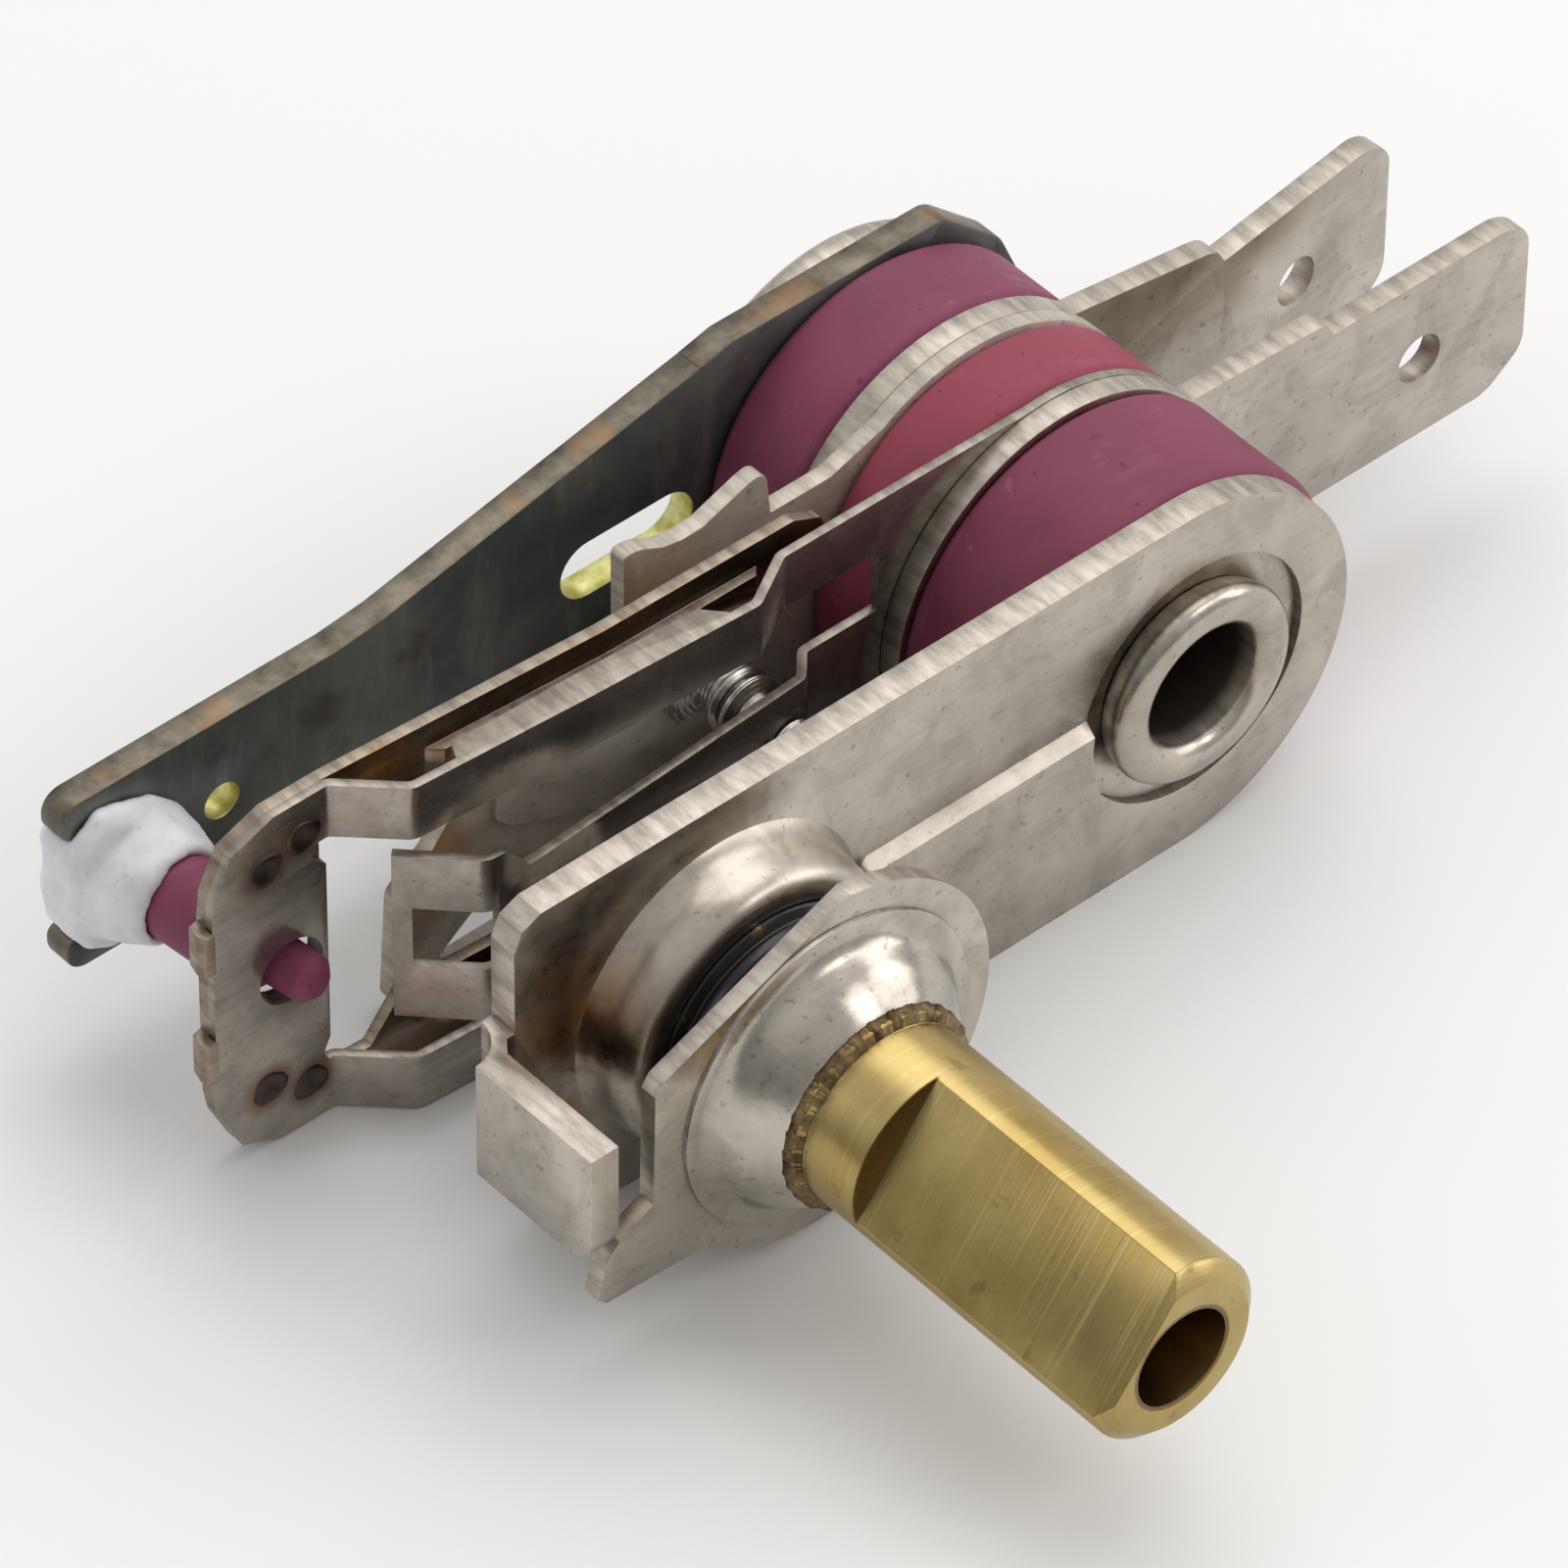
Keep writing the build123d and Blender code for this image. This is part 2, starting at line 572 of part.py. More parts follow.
shaft.part.label = "shaft"

with BuildPart() as stop_collar:
    with BuildSketch(at_y(collar_y[1])) as collar_s:
        with Locations((spindle_x, 0)):
            Circle(collar_r)
        # chord cut on the upper left, straight left side and the stop lug
        with BuildLine():
            Polyline(
                (spindle_x - 1.2, 6.9), (spindle_x + 1.05, 6.6), (spindle_x + 1.05, 6.2), (spindle_x - 6.05, 3.25),
                (spindle_x - 7.5, 3.25), close=True,
            )
        make_face(mode=Mode.SUBTRACT)
        with BuildLine():
            Polyline(
                (spindle_x - 4.4, 3.93), (spindle_x - 6.0, 3.27), (spindle_x - 6.28, 2.85), (spindle_x - 6.35, -1.35),
                (spindle_x - 7.6, -2.0), (spindle_x - 8.05, -2.5), (spindle_x - 8.4, -3.85), (spindle_x - 8.1, -4.15),
                (spindle_x - 4.6, -4.35), (spindle_x - 3.0, 0), close=True,
            )
        make_face()
    extrude(amount=collar_y[1] - collar_y[0])
    with BuildSketch(Plane.XY):
        with BuildLine():
            Polyline(
                *[(spindle_x + r, yy) for r, yy in [
                    (2.9, -4.5), (5.3, -4.5), (5.25, -4.93), (4.95, -4.98), (4.62, -5.12), (4.38, -5.4), (4.22, -5.75),
                    (4.0, -6.1), (3.72, -6.42), (3.5, -6.7), (3.38, -6.85), (2.9, -6.85),
                ]],
                close=True,
            )
        make_face()
    revolve(axis=Axis((spindle_x, 0, 0), (0, 1, 0)))
    with BuildSketch(at_y(0)):
        with Locations((spindle_x, 0)):
            Circle(3.02)
    extrude(amount=10, mode=Mode.SUBTRACT)
stop_collar.part.label = "stop_collar"

with BuildPart() as calibration_screw:
    with BuildSketch(at_y(-3.06)):
        with Locations((spindle_x, 0)):
            Circle(1.6)
    extrude(amount=4.1)
    with BuildSketch(at_y(-6.4)):
        with Locations((spindle_x, 0)):
            Rectangle(4, 0.5, rotation=30)
    extrude(amount=1.0, mode=Mode.SUBTRACT)
calibration_screw.part.label = "calibration_screw"

tongue_at_spindle = 5.68 + tongue_slope * (spindle_x + 9.95)
tip_y = tongue_at_spindle - 0.08
with BuildPart() as spindle_tip:
    with BuildSketch(Plane.XY):
        with BuildLine():
            Polyline(
                *[(spindle_x + r, yy) for r, yy in [
                    (0, -3.0), (1.24, -3.0), (1.24, 2.6), (1.6, 2.6), (1.6, 3.7), (1.15, 4.5), (0.7, tip_y - 0.08), (0, tip_y),
                ]],
                close=True,
            )
        make_face()
    revolve(axis=Axis((spindle_x, 0, 0), (0, 1, 0)))
spindle_tip.part.label = "spindle_tip"

# ---------------------------------------------------------------- write one file per piece
export_step(front_bracket.part, "parts/front_bracket.step")
export_step(tube_rivet.part, "parts/tube_rivet.step")
export_step(rear_washer.part, "parts/rear_washer.step")
export_step(ceramic_front.part, "parts/ceramic_front.step")
export_step(ceramic_middle.part, "parts/ceramic_middle.step")
export_step(ceramic_rear.part, "parts/ceramic_rear.step")
export_step(terminal_front.part, "parts/terminal_front.step")
export_step(terminal_rear.part, "parts/terminal_rear.step")
export_step(blade_root.part, "parts/blade_root.step")
export_step(blade_frame.part, "parts/blade_frame.step")
export_step(contact_tongue.part, "parts/contact_tongue.step")
export_step(frame_stiffener.part, "parts/frame_stiffener.step")
export_step(contact_arm.part, "parts/contact_arm.step")
export_step(fixed_contact.part, "parts/fixed_contact.step")
export_step(moving_contact.part, "parts/moving_contact.step")
export_step(bimetal_clamp.part, "parts/bimetal_clamp.step")
export_step(bimetal_strip.part, "parts/bimetal_strip.step")
export_step(push_pin.part, "parts/push_pin.step")
export_step(pin_cement.part, "parts/pin_cement.step")
export_step(shaft.part, "parts/shaft.step")
export_step(stop_collar.part, "parts/stop_collar.step")
export_step(calibration_screw.part, "parts/calibration_screw.step")
export_step(spindle_tip.part, "parts/spindle_tip.step")
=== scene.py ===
import json
import math
import random

import bpy
import bmesh
from mathutils import Matrix, Vector, noise as mnoise


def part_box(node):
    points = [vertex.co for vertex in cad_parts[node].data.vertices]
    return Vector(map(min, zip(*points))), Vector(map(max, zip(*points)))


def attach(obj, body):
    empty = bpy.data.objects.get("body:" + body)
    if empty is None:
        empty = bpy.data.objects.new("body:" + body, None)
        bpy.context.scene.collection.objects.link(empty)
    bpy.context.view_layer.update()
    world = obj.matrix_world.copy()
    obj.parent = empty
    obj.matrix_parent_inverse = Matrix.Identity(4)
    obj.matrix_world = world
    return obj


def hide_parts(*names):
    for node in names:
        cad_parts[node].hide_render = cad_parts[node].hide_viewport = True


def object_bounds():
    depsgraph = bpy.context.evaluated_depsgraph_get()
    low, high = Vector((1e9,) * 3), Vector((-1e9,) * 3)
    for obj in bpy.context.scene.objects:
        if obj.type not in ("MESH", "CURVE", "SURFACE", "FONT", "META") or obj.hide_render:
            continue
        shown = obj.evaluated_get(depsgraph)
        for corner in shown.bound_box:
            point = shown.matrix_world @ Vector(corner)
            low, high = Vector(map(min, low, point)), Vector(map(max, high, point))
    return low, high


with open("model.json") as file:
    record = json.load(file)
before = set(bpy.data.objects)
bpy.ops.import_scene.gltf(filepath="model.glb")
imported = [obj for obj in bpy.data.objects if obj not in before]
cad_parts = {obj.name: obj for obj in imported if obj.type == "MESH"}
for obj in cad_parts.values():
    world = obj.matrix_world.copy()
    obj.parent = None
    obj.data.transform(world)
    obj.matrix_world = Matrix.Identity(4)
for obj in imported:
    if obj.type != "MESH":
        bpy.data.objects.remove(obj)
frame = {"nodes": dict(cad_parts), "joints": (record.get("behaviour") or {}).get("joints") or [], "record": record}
cad_lo, cad_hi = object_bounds()
NODES = frame["nodes"]
RECORD = frame["record"]
BODY = {n: b for b, ns in RECORD["behaviour"]["bodies"].items() for n in ns}
JOINT = {j["name"]: j for j in frame["joints"]}
scene = bpy.context.scene
MM = 0.001
random.seed(7)

sx = JOINT["shaft_turn"]["pos_m"][0]  # the spindle's axis
FLAT_A = math.radians(142.0)


# ---------------------------------------------------------------- node helper
class Mat:
    """A procedural material built from nodes, in the shared frame's coordinates."""

    def __init__(self, name):
        self.m = bpy.data.materials.new(name)
        self.m.use_nodes = True
        self.nt = self.m.node_tree
        self.nt.nodes.clear()
        self.out = self.nt.nodes.new("ShaderNodeOutputMaterial")
        self.b = self.nt.nodes.new("ShaderNodeBsdfPrincipled")
        self.nt.links.new(self.b.outputs[0], self.out.inputs[0])
        tc = self.nt.nodes.new("ShaderNodeTexCoord")
        self.co, self.no = tc.outputs["Object"], tc.outputs["Normal"]
        s = self.nt.nodes.new("ShaderNodeSeparateXYZ")
        self.nt.links.new(self.co, s.inputs[0])
        self.x, self.y, self.z = s.outputs
        s = self.nt.nodes.new("ShaderNodeSeparateXYZ")
        self.nt.links.new(self.no, s.inputs[0])
        self.nx, self.ny, self.nz = s.outputs

    def put(self, v, socket):
        if isinstance(v, bpy.types.NodeSocket):
            self.nt.links.new(v, socket)
        elif isinstance(v, (tuple, list)) and len(v) == 3 and socket.type == "RGBA":
            socket.default_value = (*v, 1)
        else:
            socket.default_value = v

    def math(self, op, a, b=0.0, clamp=False):
        n = self.nt.nodes.new("ShaderNodeMath")
        n.operation, n.use_clamp = op, clamp
        self.put(a, n.inputs[0])
        self.put(b, n.inputs[1])
        return n.outputs[0]

    def add(self, a, b): return self.math("ADD", a, b)
    def mul(self, a, b): return self.math("MULTIPLY", a, b)
    def absv(self, a): return self.math("ABSOLUTE", a)

    def step(self, v, a, b, lo=0.0, hi=1.0):
        n = self.nt.nodes.new("ShaderNodeMapRange")
        n.interpolation_type = "SMOOTHSTEP"
        self.put(v, n.inputs["Value"])
        for k, q in (("From Min", a), ("From Max", b), ("To Min", lo), ("To Max", hi)):
            n.inputs[k].default_value = q
        return n.outputs[0]

    def lin(self, v, a, b, lo=0.0, hi=1.0):
        n = self.nt.nodes.new("ShaderNodeMapRange")
        self.put(v, n.inputs["Value"])
        for k, q in (("From Min", a), ("From Max", b), ("To Min", lo), ("To Max", hi)):
            n.inputs[k].default_value = q
        return n.outputs[0]

    def mix(self, f, a, b, mode="MIX"):
        n = self.nt.nodes.new("ShaderNodeMix")
        n.data_type, n.blend_type = "RGBA", mode
        self.put(f, n.inputs[0])
        self.put(a, n.inputs[6])
        self.put(b, n.inputs[7])
        return n.outputs[2]

    def stretch(self, k, rot=None):
        n = self.nt.nodes.new("ShaderNodeMapping")
        n.inputs["Scale"].default_value = k
        if rot:
            n.inputs["Rotation"].default_value = rot
        self.nt.links.new(self.co, n.inputs[0])
        return n.outputs[0]

    def noise(self, scale, detail=3.0, rough=0.55, vec=None, distortion=0.0):
        n = self.nt.nodes.new("ShaderNodeTexNoise")
        self.put(vec or self.co, n.inputs["Vector"])
        n.inputs["Scale"].default_value = scale
        n.inputs["Detail"].default_value = detail
        n.inputs["Roughness"].default_value = rough
        n.inputs["Distortion"].default_value = distortion
        return n.outputs[0]

    def near(self, p, r0, r1, squash=(1, 1, 1)):
        """1 within r0 of the point p, 0 beyond r1; millimetres."""
        s = self.nt.nodes.new("ShaderNodeVectorMath")
        s.operation = "SUBTRACT"
        self.nt.links.new(self.co, s.inputs[0])
        s.inputs[1].default_value = [c * MM for c in p]
        t = self.nt.nodes.new("ShaderNodeVectorMath")
        t.operation = "MULTIPLY"
        self.nt.links.new(s.outputs[0], t.inputs[0])
        t.inputs[1].default_value = squash
        d = self.nt.nodes.new("ShaderNodeVectorMath")
        d.operation = "LENGTH"
        self.nt.links.new(t.outputs[0], d.inputs[0])
        return self.step(d.outputs["Value"], r0 * MM, r1 * MM, 1.0, 0.0)

    def radius(self, cx, cz):
        """Distance from the line along Y through (cx, cz), in millimetres."""
        dx = self.add(self.mul(self.x, 1000), -cx)
        dz = self.add(self.mul(self.z, 1000), -cz)
        return self.math("SQRT", self.add(self.mul(dx, dx), self.mul(dz, dz)))

    def bump(self, h, dist, strength=1.0, normal=None):
        n = self.nt.nodes.new("ShaderNodeBump")
        n.inputs["Strength"].default_value = strength
        n.inputs["Distance"].default_value = dist * MM
        self.put(h, n.inputs["Height"])
        if normal is not None:
            self.nt.links.new(normal, n.inputs["Normal"])
        return n.outputs[0]

    def crease(self, dist=0.5):
        """0 in a crease, 1 in the open; it is used to paint shade into creases."""
        n = self.nt.nodes.new("ShaderNodeAmbientOcclusion")
        n.samples = 4
        n.only_local = True
        n.inputs["Distance"].default_value = dist * MM
        return n.outputs["AO"]

    def done(self, color, rough, metallic=0.0, normal=None):
        self.put(color, self.b.inputs["Base Color"])
        self.put(rough, self.b.inputs["Roughness"])
        self.put(metallic, self.b.inputs["Metallic"])
        if normal is not None:
            self.nt.links.new(normal, self.b.inputs["Normal"])
        return self.m


def nickel(name, light=(0.60, 0.545, 0.475), dark=(0.36, 0.32, 0.275), rough=(0.22, 0.38), tints_and_reflections=(), spots_and_shade=(),
           wave=0.025, brush=(1, 14, 14), edge="y", crease_shade=0.75, streak=0.0, bore=0.0, cut_y=None, metal=1.0,
           shear=((0.31, 0.275, 0.24), (0.57, 0.52, 0.455))):
    """Satin nickel plate: mottling, fine handling marks, a wavy surface, sheared edges and painted shade in the
    creases; where asked, a bore painted dark as shade and dark patches painted in as shade and reflection.
    """
    g = Mat(name)
    big = g.noise(170, 4, 0.6)
    fine = g.noise(1500, 5, 0.6)
    hair = g.noise(260, 3, 0.6, g.stretch(brush))
    wavy = g.noise(260, 1.5, 0.4)
    pits = g.step(g.noise(3300, 2, 0.5), 0.64, 0.72)
    col = g.mix(g.lin(big, 0.3, 0.7), dark, light)
    col = g.mix(g.mul(g.step(g.noise(520, 5, 0.65, distortion=0.8), 0.42, 0.66), 0.4), col, [c * 0.62 for c in dark])
    col = g.mix(g.mul(g.lin(hair, 0.35, 0.75), 0.18), col, (0.7, 0.66, 0.6))
    col = g.mix(g.mul(pits, 0.4), col, (0.13, 0.11, 0.09))
    if streak:
        st = g.noise(200, 3, 0.6, g.stretch((0.5, 9, 9)))
        col = g.mix(g.mul(g.step(st, 0.45, 0.66), streak), col, (0.36, 0.2, 0.085))
    # heat tints; a caller may also list dark patches here that are painted reflections
    for p, r0, r1, c, k in tints_and_reflections:
        f = g.mul(g.near(p, r0, r1), g.lin(g.noise(420, 4, 0.65), 0.3, 0.62))
        col = g.mix(g.mul(f, k), col, c)
    # cut edges are brighter and torn along the plate's thickness
    cut = g.step(g.absv(g.ny), 0.35, 0.6, 1.0, 0.0)
    if cut_y is not None:  # only the plate's own thickness is cut, not what is drawn from it
        cut = g.mul(cut, g.step(g.y, (cut_y - 0.1) * MM, (cut_y + 0.05) * MM))
    if edge == "ear":  # the stop ear's top and bottom are sheared too
        ear = g.mul(g.step(g.absv(g.nz), 0.6, 0.85), g.step(g.x, -0.0262, -0.0258, 1.0, 0.0))
        cut = g.math("MAXIMUM", cut, ear)
    torn = g.noise(2300, 4, 0.65, g.stretch((1, 0.22, 1)))
    tear = g.mix(g.lin(torn, 0.36, 0.62), *shear)
    col = g.mix(g.mul(cut, 0.8), col, tear)
    r = g.add(g.lin(big, 0.3, 0.7, rough[0], rough[1]), g.lin(fine, 0.3, 0.7, -0.04, 0.05))
    r = g.add(r, g.mul(cut, 0.16))
    # weld halos and marks; a caller may also list dark spots here that are painted shade
    for p, r0, r1, c, k in spots_and_shade:
        f = g.near(p, r0, r1)
        col = g.mix(g.mul(f, k), col, c)
        r = g.add(r, g.mul(f, 0.12 * k))
    # painted shade: the creases are darkened by ambient occlusion
    if crease_shade:
        ao = g.step(g.crease(0.6), 0.35, 0.95, crease_shade, 0.0)
        col = g.mix(ao, col, (0.035, 0.028, 0.022))
    # painted shade: with bore set, the inside of the bore is painted nearly black
    if bore:
        inside = g.mul(g.step(g.radius(0.0, 0.0), bore, bore + 0.12, 1.0, 0.0), g.step(g.y, -0.0002, 0.0004))
        col = g.mix(g.mul(inside, 0.93), col, (0.05, 0.038, 0.03))
        r = g.add(r, g.mul(inside, 0.12))
    n = g.bump(wavy, wave, 0.9)
    n = g.bump(hair, 0.002, 0.6, n)
    n = g.bump(g.mix(cut, fine, torn), 0.008, 0.8, n)
    return g.done(col, r, metal, n)


def steatite(name, base, deep):
    """Unglazed pigmented ceramic: chalky, faint pressing marks, pale dust and small dark specks."""
    g = Mat(name)
    cloud = g.noise(150, 4, 0.6)
    grain = g.noise(5200, 3, 0.6)
    speck = g.step(g.noise(2600, 2, 0.5), 0.68, 0.74)
    dust = g.step(g.noise(900, 4, 0.7), 0.6, 0.78)
    scuff = g.step(g.noise(240, 3, 0.6, g.stretch((1, 5, 1))), 0.58, 0.75)
    col = g.mix(g.lin(cloud, 0.3, 0.7), deep, base)
    col = g.mix(g.mul(dust, 0.3), col, (0.46, 0.27, 0.34))
    col = g.mix(g.mul(scuff, 0.2), col, (0.36, 0.13, 0.2))
    col = g.mix(g.mul(speck, 0.5), col, (0.07, 0.012, 0.03))
    # painted shade: the creases are darkened by ambient occlusion
    col = g.mix(g.step(g.crease(0.5), 0.3, 0.95, 0.5, 0.0), col, (0.03, 0.008, 0.015))
    n = g.bump(grain, 0.006, 0.6)
    n = g.bump(g.noise(700, 3, 0.6), 0.012, 0.5, n)
    m = g.done(col, g.lin(cloud, 0.3, 0.7, 0.5, 0.66), 0.0, n)
    g.b.inputs["Specular IOR Level"].default_value = 0.35
    return m


def spring(name, tints_and_reflections=(), spots_and_shade=()):
    return nickel(name, metal=0.9, light=(0.50, 0.45, 0.395), dark=(0.27, 0.235, 0.2), rough=(0.18, 0.32), tints_and_reflections=tints_and_reflections, spots_and_shade=spots_and_shade,
                  wave=0.02, crease_shade=0.6, shear=((0.17, 0.145, 0.12), (0.36, 0.32, 0.27)))


def bimetal(name):
    """Blued and passivated bimetal: slate and olive clouds, brown flecks, yellowish torn edges."""
    g = Mat(name)
    big = g.noise(130, 5, 0.62, distortion=0.6)
    mid = g.noise(600, 4, 0.65)
    run = g.noise(330, 4, 0.6, g.stretch((3.2, 1, 0.7)))
    col = g.mix(g.lin(big, 0.35, 0.65), (0.085, 0.105, 0.115), (0.20, 0.215, 0.20))
    col = g.mix(g.mul(g.step(run, 0.5, 0.7), 0.55), col, (0.25, 0.26, 0.23))
    col = g.mix(g.mul(g.step(mid, 0.56, 0.7), 0.45), col, (0.15, 0.095, 0.05))
    col = g.mix(g.mul(g.step(g.noise(210, 3, 0.6), 0.58, 0.68), 0.5), col, (0.06, 0.04, 0.03))
    cut = g.step(g.absv(g.ny), 0.35, 0.6, 1.0, 0.0)
    torn = g.noise(900, 4, 0.65)
    tan = g.mix(g.lin(torn, 0.3, 0.7), (0.075, 0.065, 0.05), (0.22, 0.195, 0.15))
    tan = g.mix(g.mul(g.step(g.noise(500, 3, 0.6), 0.55, 0.7), 0.6), tan, (0.26, 0.15, 0.08))
    col = g.mix(cut, col, tan)
    # the slot's and the hole's walls keep the yellow passivate
    slot = g.near((-9.3, 14.85, 0.75), 2.7, 3.1, (1, 1, 1.6))
    hole = g.near((-24.6, 14.85, 0.1), 0.85, 1.0)
    wall = g.mul(g.math("MAXIMUM", slot, hole), cut)
    yellow = g.mix(g.lin(g.noise(1800, 3, 0.6), 0.3, 0.7), (0.42, 0.38, 0.08), (0.72, 0.70, 0.34))
    col = g.mix(wall, col, yellow)
    n = g.bump(mid, 0.01, 0.7)
    n = g.bump(g.mix(cut, g.noise(420, 2, 0.5), torn), 0.02, 0.7, n)
    return g.done(col, g.lin(big, 0.3, 0.7, 0.34, 0.5), g.lin(cut, 0, 1, 0.75, 0.85), n)


def brass(name):
    """Turned brass: lathe rings on the round, slanting mill marks on the flat, dirt at the staking, black greased
    thread, and painted shade in the bore and on the flat's shoulder.
    """
    g = Mat(name)
    r = g.radius(sx * 1000, 0.0)
    ymm = g.mul(g.y, 1000)
    big = g.noise(220, 4, 0.6)
    lathe = g.noise(60, 3, 0.7, g.stretch((1, 130, 1)))
    flatness = g.step(g.add(g.mul(g.nx, math.cos(FLAT_A)), g.mul(g.nz, math.sin(FLAT_A))), 0.985, 0.998)
    flatness = g.mul(flatness, g.step(ymm, -9.45, -9.38, 1.0, 0.0))
    mill = g.noise(110, 4, 0.65, g.stretch((1.2, 11, 1.2), (0.35, 0.0, 0.35)))
    col = g.mix(g.lin(big, 0.3, 0.7), (0.37, 0.265, 0.085), (0.52, 0.405, 0.175))
    col = g.mix(g.mul(flatness, g.lin(mill, 0.3, 0.7, 0.5, 1.0)), col, (0.20, 0.145, 0.06))
    col = g.mix(g.mul(g.step(lathe, 0.52, 0.66), 0.3), col, (0.62, 0.5, 0.25))
    col = g.mix(g.mul(g.step(g.noise(900, 3, 0.6), 0.62, 0.7), 0.4), col, (0.2, 0.12, 0.04))
    # the shoulder where the cutter left the flat is painted dark brown as shade
    over = g.add(g.mul(g.add(g.mul(g.x, 1000), -sx * 1000), math.cos(FLAT_A)), g.mul(g.mul(g.z, 1000), math.sin(FLAT_A)))
    shoulder = g.mul(g.step(over, 1.7, 1.8), g.step(g.absv(g.add(ymm, 9.41)), 0.03, 0.07, 1.0, 0.0))
    col = g.mix(g.mul(shoulder, 0.92), col, (0.13, 0.075, 0.03))
    # dirt beside the staking
    dirt = g.mul(g.step(ymm, -7.75, -7.15), g.lin(g.noise(1200, 4, 0.7), 0.35, 0.6, 0.2, 1.0))
    col = g.mix(g.mul(dirt, 0.8), col, (0.12, 0.065, 0.025))
    # painted shade: the inside of the bore is painted dark brown
    bore = g.step(r, 1.72, 1.8, 1.0, 0.0)
    col = g.mix(g.mul(bore, 0.75), col, (0.1, 0.055, 0.02))
    thread = g.step(ymm, -4.85, -4.78)
    grease = g.mul(thread, g.lin(g.noise(420, 4, 0.6), 0.36, 0.42))
    col = g.mix(grease, col, (0.006, 0.006, 0.008))
    rough = g.add(g.lin(big, 0.3, 0.7, 0.24, 0.36), g.mul(flatness, 0.08))
    rough = g.add(rough, g.mul(grease, -0.1))
    n = g.bump(lathe, 0.006, 0.8)
    n = g.bump(g.mix(flatness, (0.5, 0.5, 0.5), mill), 0.004, 0.6, n)
    n = g.bump(g.noise(1600, 3, 0.6), 0.004, 0.6, n)
    return g.done(col, rough, g.lin(grease, 0, 1, 1.0, 0.1), n)


def silver(name):
    """Contact metal: dull silver with turned grooves round the rim."""
    g = Mat(name)
    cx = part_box("moving_contact")
    c = (cx[0] + cx[1]) * 500
    r = g.radius(c.x, c.z)
    ring = g.math("SINE", g.mul(r, 34.0))
    turn = g.math("SINE", g.mul(g.y, 42000.0))
    big = g.noise(900, 4, 0.6)
    col = g.mix(g.lin(big, 0.3, 0.7), (0.42, 0.40, 0.38), (0.82, 0.79, 0.75))
    # painted shade: the creases are darkened by ambient occlusion
    col = g.mix(g.step(g.crease(0.3), 0.3, 0.95, 0.7, 0.0), col, (0.05, 0.04, 0.035))
    n = g.bump(ring, 0.012, 0.6)
    n = g.bump(turn, 0.015, 0.7, n)
    return g.done(col, g.lin(big, 0.3, 0.7, 0.2, 0.36), 1.0, n)


def cement(name):
    """Dried refractory cement: chalk white, brushed on, with a fine grain and grey pores."""
    g = Mat(name)
    big = g.noise(500, 4, 0.6)
    pores = g.step(g.noise(2600, 3, 0.6), 0.62, 0.7)
    col = g.mix(g.lin(big, 0.3, 0.7), (0.66, 0.665, 0.70), (0.84, 0.84, 0.86))
    col = g.mix(g.mul(pores, 0.3), col, (0.42, 0.41, 0.42))
    # painted shade: the creases are darkened by ambient occlusion
    col = g.mix(g.step(g.crease(0.4), 0.3, 0.95, 0.4, 0.0), col, (0.3, 0.24, 0.24))
    n = g.bump(g.noise(1800, 4, 0.65), 0.02, 0.7)
    m = g.done(col, g.lin(big, 0.3, 0.7, 0.42, 0.62), 0.0, n)
    g.b.inputs["Subsurface Weight"].default_value = 0.08
    g.b.inputs["Subsurface Radius"].default_value = (0.0006, 0.0005, 0.0005)
    g.b.inputs["Subsurface Scale"].default_value = 0.5
    return m


def crust(name):
    """Burnt, staked metal round the shaft."""
    g = Mat(name)
    big = g.noise(1300, 4, 0.65)
    col = g.mix(g.lin(big, 0.35, 0.62), (0.06, 0.03, 0.014), (0.26, 0.18, 0.09))
    n = g.bump(g.noise(2600, 4, 0.65), 0.03, 0.9)
    return g.done(col, g.lin(big, 0.3, 0.7, 0.35, 0.6), 0.85, n)


def weld(name):
    """Burnt centre of a spot weld."""
    g = Mat(name)
    big = g.noise(1500, 4, 0.6)
    col = g.mix(g.lin(big, 0.3, 0.7), (0.03, 0.02, 0.016), (0.12, 0.085, 0.07))
    n = g.bump(g.noise(2200, 3, 0.6), 0.015, 0.8)
    return g.done(col, g.lin(big, 0.3, 0.7, 0.3, 0.5), 0.9, n)


BROWN, ORANGE, PINK = (0.25, 0.12, 0.045), (0.52, 0.25, 0.07), (0.5, 0.3, 0.24)
HALO = (0.30, 0.19, 0.12)
plate_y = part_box("blade_frame")[0].y * 1000
WELDS = [(-28.25, 4.5), (-26.85, 4.95), (-28.3, -4.15), (-26.8, -4.9)]
halos = [((x, 7.9, z), 0.55, 1.15, (0.2, 0.11, 0.065), 0.85) for x, z in WELDS]

